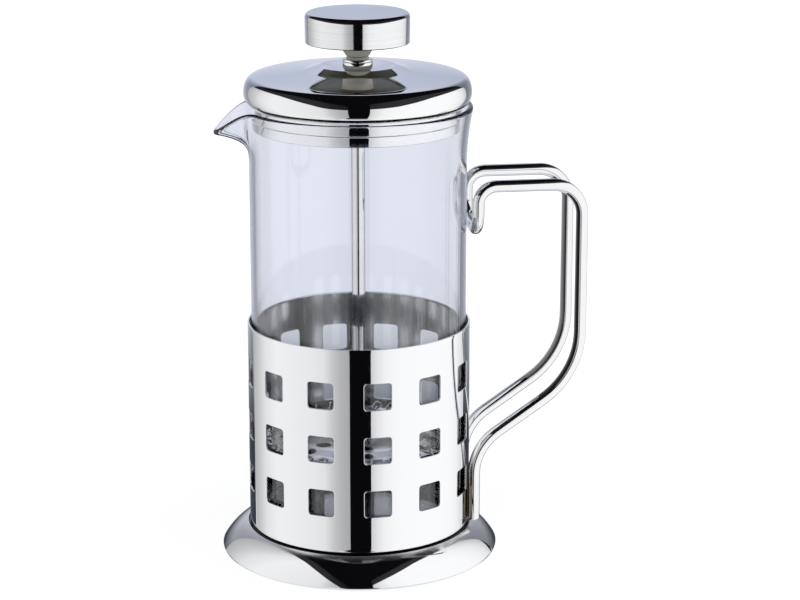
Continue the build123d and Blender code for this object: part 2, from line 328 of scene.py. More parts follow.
mirrorTone = (0.86, 0.865, 0.88)
sleeveSteel = steel("sleeveSteel", mirrorTone, (0.015, 0.05), 60,
                    waves={"stretch": (45, 45, 18), "depth": 0.025})
footSteel = steel("footSteel", mirrorTone, (0.015, 0.045), 70)
lidSteel = steel("lidSteel", mirrorTone, (0.012, 0.04), 80)
wireSteel = steel("wireSteel", (0.84, 0.84, 0.85), (0.03, 0.07), 120,
                  grain={"stretch": (150, 150, 150), "depth": 0.0004, "rough": 0.01, "tone": 0.04})
knobSteel = steel("knobSteel", mirrorTone, (0.03, 0.08), 90,
                  grain={"stretch": (30, 30, 3000), "depth": 0.003, "rough": 0.03, "tone": 0.14})
filterSteel = steel("filterSteel", (0.6, 0.6, 0.61), (0.05, 0.14), 150,
                    grain={"stretch": (900, 900, 900), "depth": 0.003, "rough": 0.03, "tone": 0.1})
springSteel = steel("springSteel", (0.76, 0.76, 0.77), (0.08, 0.16), 300)
collarSteel = steel("collarSteel", mirrorTone, (0.02, 0.05), 200)
turnedBrass = steel("turnedBrass", (0.80, 0.60, 0.28), (0.12, 0.25), 200)

weld = {"brown": (0.16, 0.13, 0.10, 1), "from": 37.9, "to": 38.9, "low": 22, "high": 44}
# seam: dark is the painted shade in the groove under the sleeve, groove and clear the radii where it fades
# out
seam = {"rough": 0.22, "from": 37.4, "to": 39.6, "dark": (0.012, 0.012, 0.014), "groove": 36.78,
        "clear": 36.95}
drawn = {"stretch": (420, 420, 12), "rough": (0.1, 0.26), "inside": 35.8, "outside": 36.0}


def dressed(material):
    tree = material.node_tree
    return tree, tree.nodes["Principled BSDF"].inputs


def addRough(tree, shader, extra):
    plain = shader["Roughness"].links[0].from_socket
    feed(tree, shader["Roughness"], maths(tree, "ADD", plain, extra))


def weldTint(s):
    # the wire is browned on the side that is welded to the sleeve
    tree, shader = dressed(wireSteel)
    plain = shader["Base Color"].links[0].from_socket
    away = spread(tree, fromAxis(tree), 0, 1, s["from"] * mm, s["to"] * mm)
    above = spread(tree, heightOf(tree, coords(tree)), 0, 1, s["low"] * mm, s["high"] * mm)
    feed(tree, shader["Base Color"], blend(tree, maths(tree, "MAXIMUM", away, above), s["brown"], plain))


def seamRoughnessAndPaintedShade(s):
    # the bell is less polished close to the sleeve, and painted near black as shade in the groove under it
    tree, shader = dressed(footSteel)
    out = fromAxis(tree)
    addRough(tree, shader, spread(tree, out, s["rough"], 0.0, s["from"] * mm, s["to"] * mm))
    # painted shade: the steel is near black closer to the axis than the groove's outer wall, which takes in
    # the raised floor as well
    clear = spread(tree, out, 0, 1, s["groove"] * mm, s["clear"] * mm)
    feed(tree, shader["Base Color"], ramp(tree, clear, [(0, s["dark"]), (1, mirrorTone)]))


def innerWall(s):
    # inside, the sleeve is drawn and not polished: streaks along its height
    tree, shader = dressed(sleeveSteel)
    inside = spread(tree, fromAxis(tree), 1, 0, s["inside"] * mm, s["outside"] * mm)
    streaks = spread(tree, objectNoise(tree, s["stretch"], detail=3.0), *s["rough"])
    addRough(tree, shader, maths(tree, "MULTIPLY", inside, streaks))


def meshSteel(turn=0.785, fine=900.0):
    # two sets of threads across each other
    material, tree, shader = newMaterial("meshSteel")
    shader["Metallic"].default_value = 1.0
    shader["Base Color"].default_value = (0.5, 0.5, 0.51, 1)
    threads = []
    for way in (turn, -turn):
        mapping = node(tree, "ShaderNodeMapping", coords(tree), Rotation=(0, 0, way))
        wave = node(tree, "ShaderNodeTexWave", mapping.outputs["Vector"], Scale=fine)
        threads.append(wave.outputs["Fac"])
    weave = maths(tree, "MULTIPLY", *threads)
    feed(tree, shader["Normal"], addBump(tree, weave, 0.1 * mm))
    feed(tree, shader["Roughness"], spread(tree, weave, 0.25, 0.5, 0, 1))
    return material


def clearGlass():
    # faintly uneven from drawing, tinted where the light goes a long way through it
    material, tree, shader = newMaterial("clearGlass")
    shader["Base Color"].default_value = (0.985, 0.99, 1.0, 1)
    shader["Transmission Weight"].default_value = 1.0
    shader["IOR"].default_value = 1.47
    cloud = objectNoise(tree, (1, 1, 1), scale=90, detail=3.0)
    feed(tree, shader["Roughness"], spread(tree, cloud, 0.0, 0.012))
    uneven = objectNoise(tree, (70, 70, 6), detail=1.0)
    feed(tree, shader["Normal"], addBump(tree, uneven, 0.03 * mm))
    depth = node(tree, "ShaderNodeVolumeAbsorption", Color=(0.55, 0.6, 0.7, 1), Density=35.0)
    feed(tree, tree.nodes["Material Output"].inputs["Volume"], depth.outputs["Volume"])
    return material


def moulded(name, tone, shade, rough, pitted):
    # plastic: two close tones, a soft sheen and a fine moulded grain
    material, tree, shader = newMaterial(name)
    cloud = objectNoise(tree, (1, 1, 1), scale=220, detail=4.0)
    feed(tree, shader["Base Color"], ramp(tree, cloud, [(0.3, shade), (0.7, tone)]))
    feed(tree, shader["Roughness"], spread(tree, cloud, *rough))
    fine = objectNoise(tree, (1, 1, 1), scale=1800, detail=2.0)
    feed(tree, shader["Normal"], addBump(tree, fine, pitted * mm))
    return material


weldTint(weld)
seamRoughnessAndPaintedShade(seam)
innerWall(drawn)
weaveSteel = meshSteel()
glass = clearGlass()
olivePlastic = moulded("olivePlastic", (0.20, 0.20, 0.09), (0.135, 0.13, 0.072), (0.3, 0.42), 0.01)
paleNylon = moulded("paleNylon", (0.93, 0.91, 0.83), (0.88, 0.86, 0.77), (0.25, 0.35), 0.006)
print("materials made:", len(bpy.data.materials))


# foot: a bell spinning with a raised floor

footSize = {"rim": 45.4, "edge": 1.0, "shoulder": 9.4, "neck": 36.3, "bell": 19.6,
            "floor": 10.7, "floorRadius": 35.65, "sheet": 0.8, "hem": 1.8,
            "groove": 0.6, "grooveDrop": 0.15, "grooveDeep": 0.7, "grooveEdge": 0.1}


def makeFoot(s):
    inner, floor, rim, edge, sheet = [s[k] for k in ("floorRadius", "floor", "rim", "edge", "sheet")]
    lip, slot = s["neck"] + s["groove"], s["shoulder"] - s["groove"] - s["grooveDrop"]
    wall, deep, hem = lip - s["grooveEdge"], slot - s["grooveDeep"], rim - edge - s["hem"]
    face = rounded([(0, floor), (inner, floor, 0.5), (inner, deep), (wall, deep, 0.1),
                    (wall, slot - 0.1, 0.08), (lip, slot - 0.05)], step=30)[:-1]
    face += circleArc((lip, slot), (rim, edge), s["bell"], 56)
    face += roundArc((rim - edge, edge), edge, 0, -90, 9)[1:]
    face += [(hem, 0), (hem, 0.4), (rim - edge - 0.5, sheet)]
    back = circleArc((rim - sheet - 0.3, edge + 0.4), (s["neck"] + 0.3, slot - 1.5), -s["bell"], 24)
    return lathe("foot.bell", face + back + [(inner - 1.0, floor - sheet), (0, floor - sheet)])


# sleeve: one column of windows, repeated round the axis

sleeveSize = {"radius": 36.3, "sheet": 0.6, "low": 9.4, "high": 77.0,
              "window": 8.8, "corner": 1.0, "rows": (25.7, 43.55, 61.4), "rowPitch": 17.85,
              "columns": 11, "columnAngle": 29.3, "startAngle": -28.65, "edge": 0.12,
              "perSide": 16, "rings": 7, "ringEase": 1.6, "plainSteps": 25}


def squareLoop(half, corner, perSide):
    # points round a rounded square, four sides that each start at the middle of a corner
    inner = half - corner
    bits = np.array(roundArc((inner, -inner), corner, -45, 0, 9) + roundArc((inner, inner), corner, 0, 45, 9))
    far = np.concatenate([[0], np.cumsum(np.hypot(*np.diff(bits, axis=0).T))])
    stops = np.linspace(0, far[-1], perSide, endpoint=False)
    side = np.stack([np.interp(stops, far, part) for part in bits.T], 1)
    quarter = np.array([(0, 1), (-1, 0)])
    return np.concatenate([side @ np.linalg.matrix_power(quarter, k) for k in range(4)])


def boxLoop(halfWide, halfHigh, perSide):
    corners = np.array([(1, -1), (1, 1), (-1, 1), (-1, -1), (1, -1)], float) * (halfWide, halfHigh)
    return np.concatenate([np.linspace(a, b, perSide, endpoint=False)
                           for a, b in zip(corners, corners[1:])])


def wrap(u, z, radius):
    # a spot on the sleeve: u in millimetres along the arc, z in height
    return radius * math.cos(u / radius), radius * math.sin(u / radius), z


def wrapGrid(verts, faces, across, levels, radius):
    faces += quads(len(levels), len(across), start=len(verts), ring=False)
    verts += [wrap(u, z, radius) for z in levels for u in across]


def sleeveLevels(s):
    # heights of the grid lines, shared by all patches
    cells = [(z - s["rowPitch"] / 2, z + s["rowPitch"] / 2) for z in s["rows"]]
    foot = np.linspace(s["low"], cells[0][0], 7)[:-1]
    top = np.linspace(cells[-1][1], s["high"], 7)
    middle = [np.linspace(a, b, s["perSide"] + 1)[:-1] for a, b in cells]
    return foot, cells, middle, top


def windowColumn(s):
    verts, faces = [], []
    radius = s["radius"]
    halfWide = radius * math.radians(s["columnAngle"]) / 2
    across = np.linspace(-halfWide, halfWide, s["perSide"] + 1)
    foot, cells, _, top = sleeveLevels(s)
    wrapGrid(verts, faces, across, [*foot, cells[0][0]], radius)
    wrapGrid(verts, faces, across, top, radius)
    hole = squareLoop(s["window"] / 2, s["corner"], s["perSide"])
    frameLoop = boxLoop(halfWide, s["rowPitch"] / 2, s["perSide"])
    for z in s["rows"]:
        faces += quads(s["rings"] + 1, len(hole), start=len(verts))
        for ring in range(s["rings"] + 1):
            share = 1 - (1 - ring / s["rings"]) ** s["ringEase"]
            verts += [wrap(u, z + v, radius) for u, v in frameLoop * (1 - share) + hole * share]
    return meshObject("sleeve.column", np.array(verts) * mm, faces)


def columnTree(material):
    # instances the column round the axis
    tree, given = newTree("windowColumns", [("Columns", "Int"), ("Column angle", "Float"),
                                            ("Start angle", "Float")])
    line = node(tree, "GeometryNodeMeshLine", Count=given["Columns"], Offset=(0, 0, 0))
    index = node(tree, "GeometryNodeInputIndex").outputs[0]
    angle = maths(tree, "MULTIPLY_ADD", index, given["Column angle"], given["Start angle"])
    euler = node(tree, "ShaderNodeCombineXYZ", Z=angle)
    turn = node(tree, "FunctionNodeEulerToRotation", euler.outputs[0])
    place = node(tree, "GeometryNodeInstanceOnPoints", Points=line.outputs["Mesh"],
                 Instance=given["Geometry"], Rotation=turn.outputs[0])
    return endTree(tree, place.outputs["Instances"], material)


def makeSleeve(s, material):
    column = windowColumn(s)
    useTree(column, columnTree(material), {
        "Columns": s["columns"], "Column angle": -math.radians(s["columnAngle"]),
        "Start angle": math.radians(s["startAngle"])})
    # the plain stretch behind the handle
    first = math.radians(s["startAngle"] + s["columnAngle"] / 2)
    last = first + math.radians(360 - s["columns"] * s["columnAngle"])
    foot, _, middle, top = sleeveLevels(s)
    verts, faces = [], []
    wrapGrid(verts, faces, np.linspace(first, last, s["plainSteps"]) * s["radius"],
             [*foot, *np.concatenate(middle), *top], s["radius"])
    work = bmesh.new()
    work.from_mesh(column.data)
    spots = [work.verts.new(Vector(v) * mm) for v in verts]
    for f in faces:
        work.faces.new([spots[i] for i in f])
    bmesh.ops.remove_doubles(work, verts=work.verts, dist=2e-6)
    bmesh.ops.recalc_face_normals(work, faces=work.faces)
    work.to_mesh(column.data)
    work.free()
    column.name = "sleeve.pierced"
    wall = column.modifiers.new("wall", "SOLIDIFY")
    wall.thickness = s["sheet"] * mm
    wall.offset = -1
    soften = column.modifiers.new("edges", "BEVEL")
    soften.width = s["edge"] * mm
    soften.segments = 2
    soften.limit_method = "ANGLE"
    soften.angle_limit = math.radians(40)
    bake(column)
    smoothShade(column, 50)
    return column


# handle: one polished wire, bent into two legs with a loop between their tops

handleSize = {"wire": 4.0, "spacing": 23.7, "seat": 36.49, "tail": 37.35, "reach": 71.2,
              "end": 11.0, "lowBend": 35.1, "highBend": 59.2, "top": 122.8, "tailEnd": 107.6,
              "bends": (17.5, 28.0, 10.0, 5.8, 7.5), "step": 4.26, "sides": 32}


def wireMesh(name, points, radius, sides):
    # sweeps a round section along the points, with domed ends
    clean = [points[0]]
    for p in points[1:]:
        if (p - clean[-1]).length > 1e-6:
            clean.append(p)
    ways = [(after - before).normalized()
            for before, after in zip(clean[:1] + clean[:-1], clean[1:] + clean[-1:])]
    side = ways[0].orthogonal().normalized()
    rings = []
    for spot, way in zip(clean, ways):
        side = (side - way * side.dot(way)).normalized()
        rings.append((spot, way, side, 1.0))
    # how far a dome's ring lies past the end, and its size, as shares of the radius
    domes = [(0.35, 0.75), (0.175, 0.93)]
    (start, out, first, _), (stop, on, last, _) = rings[0], rings[-1]
    head = [(start - out * radius * past, out, first, size) for past, size in domes]
    tail = [(stop + on * radius * past, on, last, size) for past, size in domes[::-1]]
    rings = head + rings + tail
    verts = []
    for spot, way, across, size in rings:
        other = way.cross(across)
        for a in np.linspace(0, 2 * math.pi, sides, endpoint=False):
            verts.append((spot + (across * math.cos(a) + other * math.sin(a)) * radius * size) * mm)
    ends = [tuple(range(sides)), tuple(range(len(verts) - sides, len(verts)))]
    return meshObject(name, verts, quads(len(rings), sides) + ends, 60)


def makeHandle(s):
    half = s["spacing"] / 2
    leg = [(s["seat"], s["end"]), (s["seat"], s["lowBend"]), (s["reach"], s["highBend"]),
           (s["reach"], s["top"]), (s["tail"], s["top"]), (s["tail"], s["tailEnd"])]
    corners = [(x, -half, z) for x, z in leg] + [(x, half, z) for x, z in reversed(leg)]
    path = bent(corners, s["bends"] + s["bends"][::-1], s["step"])
    return wireMesh("handle.wire", [Vector(p) for p in path], s["wire"] / 2, s["sides"])


# beaker: blown glass with a flared rim and a drawn spout

glassSize = {"radius": 35.0, "wall": 1.8, "floor": 10.7, "base": 2.4, "corner": 6.0, "rim": 148.1,
             "flareLength": 19.6, "flareOut": 2.1, "spoutReach": 9.83, "spoutHalf": 30.0,
             "spoutLow": 128.5, "spoutDrop": 7.6, "spoutPower": 5.1, "spoutPlan": 4.5, "lipPower": 1.25,
             "floorRings": (0.0, 10, 20, 26), "baseHigh": 40, "closeHalf": 36}


def flaredRadius(s, z):
    bend = s["flareLength"] ** 2 / (2 * s["flareOut"])
    up = np.maximum(z - (s["rim"] - s["flareLength"]), 0)
    return s["radius"] + up**2 / (2 * bend)


def makeBeaker(s):
    # angles run from the spout, closer together there
    near, radius, floor, corner, low = [s[k] for k in ("closeHalf", "radius", "floor", "corner", "spoutLow")]
    away = np.radians([*np.linspace(-near, near, 145), *np.linspace(near, 360 - near, 161)[1:-1]])
    share = np.abs((away + math.pi) % (2 * math.pi) - math.pi) / math.radians(s["spoutHalf"])
    bulge = np.cos(np.clip(share, 0, 1) * math.pi / 2) ** s["spoutPlan"]
    topZ = s["rim"] - s["wall"] / 2 - s["spoutDrop"] * bulge ** s["lipPower"]
    wall = [(r, floor) for r in s["floorRings"]]
    wall += roundArc((radius - corner, floor + corner), corner, -90, 0, 14)
    wall += [(radius, z) for z in np.linspace(floor + corner, low, 24)[1:]]
    rows = [(np.full_like(away, r), np.full_like(away, z)) for r, z in wall]
    for t in np.linspace(0, 1, 40)[1:]:
        z = low + (topZ - low) * t
        rows.append((flaredRadius(s, z) + s["spoutReach"] * bulge * t ** s["spoutPower"], z))
    outer = np.array([np.stack([-r * np.cos(away), -r * np.sin(away), z], 1) for r, z in rows])
    # the inner face is the outer one set back along its normals
    along = np.gradient(outer, axis=0)
    across = np.roll(outer, -1, axis=1) - np.roll(outer, 1, axis=1)
    across[0] = across[1]
    normal = np.cross(across, along)
    normal /= np.maximum(np.linalg.norm(normal, axis=2), tiny)[..., None]
    normal *= np.sign((normal * outer).sum())
    normal[0] = (0, 0, -1)
    lower = outer[..., 2:] < s["baseHigh"]
    thick = s["wall"] + (s["base"] - s["wall"]) * np.clip(-normal[..., 2:], 0, 1) * lower
    inner = outer - normal * thick
    lip = halfRound(outer[-1], inner[-1], unit(along[-1]), 10)
    skin = np.concatenate([outer, np.array(lip), inner[::-1]])
    return meshObject("beaker.glass", skin.reshape(-1, 3) * mm, quads(len(skin), len(away)), 70)


# lid: domed shell, skirt, guide collar

lidSize = {"hole": 3.5, "hub": 6.2, "hubHigh": 159.3, "ring": 12.0, "ringHigh": 161.0, "crease": 17.0,
           "creaseHigh": 159.5, "sheet": 0.6, "bends": (6.0, 2.2, 6.0),
           "dome": [(18.2, 159.38), (20, 159.22), (26, 158.68), (30, 158.28), (33.0, 157.8), (34.4, 157.35),
                    (35.4, 156.55), (36.05, 155.4), (36.42, 154.0), (36.55, 152.6), (36.4, 151.3),
                    (35.95, 150.1), (35.3, 149.2), (34.75, 148.75)],
           "hem": [(34.4, 148.45), (34.05, 148.3)]}


def makeLidShell(s):
    middle = [(s["hole"], s["hubHigh"]), (s["hub"], s["hubHigh"]), (s["ring"], s["ringHigh"]),
              (s["crease"], s["creaseHigh"]), s["dome"][0]]
    face = bent(middle, s["bends"], 1.5)[:-1] + smoothLine(s["dome"], 120) + s["hem"]
    return lathe("lid.shell", pressed(face, s["sheet"]), steps=320)


skirtSize = {"radius": 33.3, "low": 141.3, "step": 144.6, "stepIn": 0.5, "bend": 0.7, "flange": 148.9,
             "flangeWide": 1.3, "sheet": 0.6}


def makeLidSkirt(s):
    r, bend, inner = s["radius"], s["bend"], s["radius"] - s["stepIn"]
    face = rounded([(inner, s["low"]), (inner, s["step"] - 0.4, bend), (r, s["step"] + 0.1, bend),
                    (r, s["flange"], bend), (r + s["flangeWide"], s["flange"])], step=12)
    return lathe("lid.skirt", pressed(face, -s["sheet"]), steps=224)


collarSize = {"radius": 4.95, "low": 161.1, "high": 163.1, "groove": 0.35, "grooveHigh": 0.12, "share": 0.55,
              "bore": 2.8, "stem": 3.4, "stemLow": 155.5, "ease": 0.25}


def makeCollar(s):
    # two coned rings with a groove between them
    r, low, high, bore, stem = [s[k] for k in ("radius", "low", "high", "bore", "stem")]
    deep, middle = r - s["groove"], low + s["share"] * (high - low)
    over = middle + s["grooveHigh"]
    outline = [(bore, s["stemLow"]), (stem, s["stemLow"]), (stem, low)]
    lower = [(r - 0.35, low), (r + 0.03, low, 0.18), (r - 0.13, middle, 0.12), (deep, middle)]
    upper = [(deep, over), (r - 0.06, over, 0.12), (r - 0.18, high, 0.2), (r - 0.6, high)]
    outline += rounded(lower, step=15) + rounded(upper, step=15)
    outline += [(bore + s["ease"], high), (bore, high - s["ease"])]
    return lathe("lid.collar", outline, steps=160)


seatSize = {"bore": 3.45, "foot": 4.0, "top": 4.85, "low": 159.3, "high": 161.1, "bulge": 2.2}


def makeSeat(s):
    # nylon bowl between the lid and the collar
    side = circleArc((s["foot"], s["low"]), (s["top"], s["high"]), -s["bulge"], 10)
    return lathe("lid.collarSeat", [(s["bore"], s["low"]), *side, (s["bore"], s["high"])], steps=128)


bushSize = {"radius": 2.78, "bore": 2.26, "low": 155.5, "flange": 3.6, "flangeLow": 163.12, "high": 163.65,
            "edge": 0.15, "ease": 0.3}


def makeBush(s):
    # its flange rests on the collar
    r, bore, wide, high = s["radius"], s["bore"], s["flange"], s["high"]
    return lathe("lid.bush", [(bore, s["low"]), (r, s["low"]), (r, s["flangeLow"]), (wide, s["flangeLow"]),
                              (wide, high - s["edge"]), (wide - s["edge"], high), (bore + s["ease"], high),
                              (bore, high - s["ease"])], steps=96)


# plunger: rod, spring plate, spring and mesh

rodSize = {"radius": 2.2, "thread": 2.0, "low": 30.7, "shoulder": 42.0, "stub": 164.0, "high": 176.1,
           "pitch": 0.7, "ridge": 0.22, "edge": 0.15, "tip": 0.3}


def threadLine(s, low, high):
    # a thread's ridges as rings, fine enough to read as a screw
    radius, pitch = s["thread"], s["pitch"]
    line = []
    z = low
    while z + pitch < high:
        line += [(radius, z), (radius - s["ridge"], z + pitch / 2)]
        z += pitch
    return line + [(radius, z), (radius, high)]


def makeRod(s):
    r, edge, tip, low, high = [s[k] for k in ("radius", "edge", "tip", "low", "high")]
    outline = [(0, low), (s["thread"] - tip, low), *threadLine(s, low + tip, s["shoulder"])]
    outline += [(r - edge, s["shoulder"]), (r, s["shoulder"] + edge)]
    outline += [(r, s["stub"] - edge), (r - edge, s["stub"])]
    outline += threadLine(s, s["stub"], high - tip) + [(s["thread"] - tip, high), (0, high)]
    return lathe("plunger.rod", outline, steps=96)


def drillTree(rings, material):
    # rings of round holes through a plate; every ring has its own count, hole and circle
    parts = ((" count", "Int"), (" radius", "Float"), (" circle", "Float"))
    inputs = [(ring + part, kind) for ring in rings for part, kind in parts]
    tree, given = newTree("drilledPlate", [*inputs, ("Height", "Vector")])
    cut = node(tree, "GeometryNodeMeshBoolean", operation="DIFFERENCE", solver="EXACT")
    feed(tree, cut.inputs["Mesh 1"], given["Geometry"])
    for ring in rings:
        circle = node(tree, "GeometryNodeMeshCircle", Vertices=given[ring + " count"],
                      Radius=given[ring + " circle"])
        drill = node(tree, "GeometryNodeMeshCylinder", Vertices=40, Radius=given[ring + " radius"],
                     Depth=12 * mm)
        shift = node(tree, "GeometryNodeSetPosition", Geometry=circle.outputs["Mesh"], Offset=given["Height"])
        place = node(tree, "GeometryNodeInstanceOnPoints", Points=shift.outputs["Geometry"],
                     Instance=drill.outputs["Mesh"])
        real = node(tree, "GeometryNodeRealizeInstances", place.outputs["Instances"])
        feed(tree, cut.inputs["Mesh 2"], real.outputs["Geometry"])
    return endTree(tree, cut.outputs["Mesh"], material)


def drilled(name, face, sheet, rings, holes, material):
    plate = lathe(name, pressed(face, sheet), steps=144)
    useTree(plate, drillTree(rings, material), holes)
    smoothShade(plate, 35)
    return plate


plateSize = {"bore": 2.0, "top": 38.8, "dish": 0.9, "step": 22.65, "slope": 3.0, "radius": 30.7, "sheet": 0.6,
             "bend": 1.5}
plateHoles = {"inner count": 8, "inner radius": 2.4 * mm, "inner circle": 18.4 * mm,
              "outer count": 16, "outer radius": 1.6 * mm, "outer circle": 24.8 * mm,
              "eye count": 36, "eye radius": 0.75 * mm, "eye circle": 29.4 * mm,
              "Height": (0, 0, 38 * mm)}


def makeSpringPlate(s, material):
    top, low, bend = s["top"], s["top"] - s["dish"], s["bend"]
    face = rounded([(s["bore"], top), (s["step"], top, bend), (s["step"] + s["slope"], low, bend),
                    (s["radius"], low)], step=10)
    rings = ("inner", "outer", "eye")
    return drilled("plunger.springPlate", face, s["sheet"], rings, plateHoles, material)


springSize = {"Turns": 36, "Circle": 30.95 * mm, "Coil": 1.55 * mm, "Wire": 0.3 * mm, "Height": 37.6 * mm}


def springTree(material, perTurn=28, wound=0.995, sides=10):
    # a coil laid round the rim of the plate, wound: the share of the way round before its ends meet
    lengths = [(name, "Float") for name in ("Circle", "Coil", "Wire", "Height")]
    tree, given = newTree("rimSpring", [("Turns", "Int"), *lengths])
    line = node(tree, "GeometryNodeCurvePrimitiveLine")
    sample = node(tree, "GeometryNodeResampleCurve", Curve=line.outputs["Curve"],
                  Count=maths(tree, "MULTIPLY", given["Turns"], perTurn))
    along = node(tree, "GeometryNodeSplineParameter").outputs["Factor"]
    around = maths(tree, "MULTIPLY", along, 2 * math.pi * wound)
    curl = maths(tree, "MULTIPLY", maths(tree, "MULTIPLY", along, given["Turns"]), 2 * math.pi)
    out = maths(tree, "MULTIPLY_ADD", maths(tree, "COSINE", curl), given["Coil"], given["Circle"])
    high = maths(tree, "MULTIPLY_ADD", maths(tree, "SINE", curl), given["Coil"], given["Height"])
    x, y = [maths(tree, "MULTIPLY", out, maths(tree, way, around)) for way in ("COSINE", "SINE")]
    spot = node(tree, "ShaderNodeCombineXYZ", x, y, high)
    move = node(tree, "GeometryNodeSetPosition", Geometry=sample.outputs["Curve"], Position=spot.outputs[0])
    section = node(tree, "GeometryNodeCurvePrimitiveCircle", Resolution=sides, Radius=given["Wire"])
    tube = node(tree, "GeometryNodeCurveToMesh", Curve=move.outputs["Geometry"],
                **{"Profile Curve": section.outputs["Curve"], "Fill Caps": True})
    return endTree(tree, tube.outputs["Mesh"], material)


def makeRimSpring(values, material):
    spring = meshObject("plunger.rimSpring", [(0, 0, 0), (mm, 0, 0), (0, mm, 0)], [(0, 1, 2)])
    useTree(spring, springTree(material), values)
    smoothShade(spring, 60)
    return spring


meshSize = {"bore": 2.0, "low": 35.0, "radius": 32.7, "lip": 0.9, "sheet": 0.4, "bend": 0.6}


def makeMeshScreen(s):
    r, low = s["radius"], s["low"]
    face = rounded([(s["bore"], low), (r, low, s["bend"]), (r, low + s["lip"])], step=15)
    return lathe("plunger.mesh", pressed(face, -s["sheet"]), steps=192)


crossSize = {"bore": 4.62, "top": 34.9, "radius": 29.0, "lip": 1.4, "sheet": 0.8, "bend": 1.0}
crossHoles = {"wide count": 6, "wide radius": 5.6 * mm, "wide circle": 19.4 * mm, "Height": (0, 0, 34 * mm)}


def makeCrossPlate(s, material):
    r, top = s["radius"], s["top"]
    face = rounded([(s["bore"], top), (r, top, s["bend"]), (r, top - s["lip"])], step=15)
    return drilled("filterBase.crossPlate", face, s["sheet"], ("wide",), crossHoles, material)


# knob: a steel cap on a plastic core, with a nylon stub

knobSize = {"radius": 16.8, "low": 168.6, "high": 178.0, "sheet": 0.7, "edge": 1.6, "recess": 0.5,
            "play": 0.03, "stubLow": 164.0, "stubTop": 5.3, "stubBottom": 3.7, "stubWaist": 166.3,
            "spigot": 3.4, "spigotHigh": 1.6, "insert": 3.2, "bore": 2.06}


def makeKnobCap(s):
    face = rounded([(0, s["high"]), (s["radius"], s["high"], s["edge"]), (s["radius"], s["low"])], step=5)
    return lathe("knob.cap", pressed(face, s["sheet"]), steps=256)


def makeKnobCore(s):
    low, top, radius = s["low"] + s["recess"], s["high"] - s["sheet"], s["radius"] - s["sheet"] - s["play"]
    outline = rounded([(s["spigot"], low + s["spigotHigh"]), (s["spigot"], low), (radius, low, 0.4),
                       (radius, top, s["edge"]), (s["insert"], top)], step=10)
    return lathe("knob.core", outline, steps=192)


def makeKnobStub(s):
    low = s["low"] + s["recess"]
    high = low + s["spigotHigh"]
    outline = rounded([(s["bore"], s["stubLow"]), (s["stubBottom"], s["stubLow"], 0.7),
                       (s["stubTop"] - 0.2, s["stubWaist"], 1.2), (s["stubTop"], low), (s["spigot"], low),
                       (s["spigot"], high), (s["bore"], high)], step=8)
    return lathe("knob.stub", outline, steps=128)


finishPiece(makeFoot(footSize), "holder", ["foot"], footSteel)
finishPiece(makeSleeve(sleeveSize, sleeveSteel), "holder", ["sleeve"], sleeveSteel)
finishPiece(makeHandle(handleSize), "holder", ["handle"], wireSteel)
print("holder built")
finishPiece(makeBeaker(glassSize), "beaker", ["beaker"], glass)
print("beaker built")
finishPiece(makeLidShell(lidSize), "lid", ["lid_shell"], lidSteel)
finishPiece(makeLidSkirt(skirtSize), "lid", ["lid_skirt"], lidSteel)
finishPiece(makeCollar(collarSize), "lid", ["guide_collar"], collarSteel)
finishPiece(makeSeat(seatSize), "lid", ["collar_seat"], paleNylon)
finishPiece(makeBush(bushSize), "lid", ["guide_bush"], paleNylon)
print("lid built")
finishPiece(makeRod(rodSize), "plunger", ["plunger_rod"], wireSteel)
finishPiece(makeSpringPlate(plateSize, filterSteel), "plunger", ["spring_plate"], filterSteel)
finishPiece(makeRimSpring(springSize, springSteel), "plunger", ["rim_spring"], springSteel)
finishPiece(makeMeshScreen(meshSize), "plunger", ["mesh_screen"], weaveSteel)
finishPiece(makeCrossPlate(crossSize, filterSteel), "filter_base", ["cross_plate"],
            filterSteel)
print("plunger and filter built")
finishPiece(makeKnobCap(knobSize), "knob", ["knob_cap"], knobSteel)
finishPiece(makeKnobCore(knobSize), "knob", ["knob_core"], olivePlastic)
finishPiece(makeKnobStub(knobSize), "knob", ["knob_stub"], paleNylon)
print("knob built")

nodeFinish = {"collar_nut": filterSteel, "plate_nut": filterSteel, "cross_hub": filterSteel,
              "knob_insert": turnedBrass}
for name, material in nodeFinish.items():
    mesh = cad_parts[name].data
    mesh.materials.clear()
    mesh.materials.append(material)


# studio: white cards left and right of the lens, a pale sweep behind

cameraSize = {"place": (-94.57, -794.5, 302.29), "tilt": 74.701, "turn": -7.754, "lens": 114.507}
# bearing from the lens, heights of the lower and upper edge, glow
leftCard = {"facing": -75.0, "distance": 115, "stops": [
    (-8.0, -100, 155, 0.45), (-16, -100, 157, 0.52), (-23, -100, 159, 0.64), (-31, -100, 165, 0.87),
    (-42, -100, 176, 0.93), (-65, -100, 195, 0.98), (-80, -100, 206, 1.0), (-98, -100, 212, 0.87),
    (-111, -100, 215, 0.68), (-123, -100, 216, 0.55), (-132, 10, 216, 0.48), (-138, 90, 210, 0.43),
    (-143, 120, 180, 0.36)]}
rightCard = {"facing": 68.0, "distance": 115, "stops": [
    (12.0, -100, 163, 0.72), (17, -100, 163, 0.86), (25, -100, 163, 1.03), (37, -100, 166, 1.09),
    (54, -100, 176, 1.11), (72, -100, 190, 1.12), (93, -100, 200, 1.1), (109, -100, 206, 1.03),
    (121, -100, 210, 0.9), (127, 0, 210, 0.75), (133, 90, 205, 0.58), (138, 120, 175, 0.42)]}
# above its edge a panel falls off: height over the edge, share of its glow
cardFade = [(3, 0.03), (55, 0.03), (75, 0.0)]
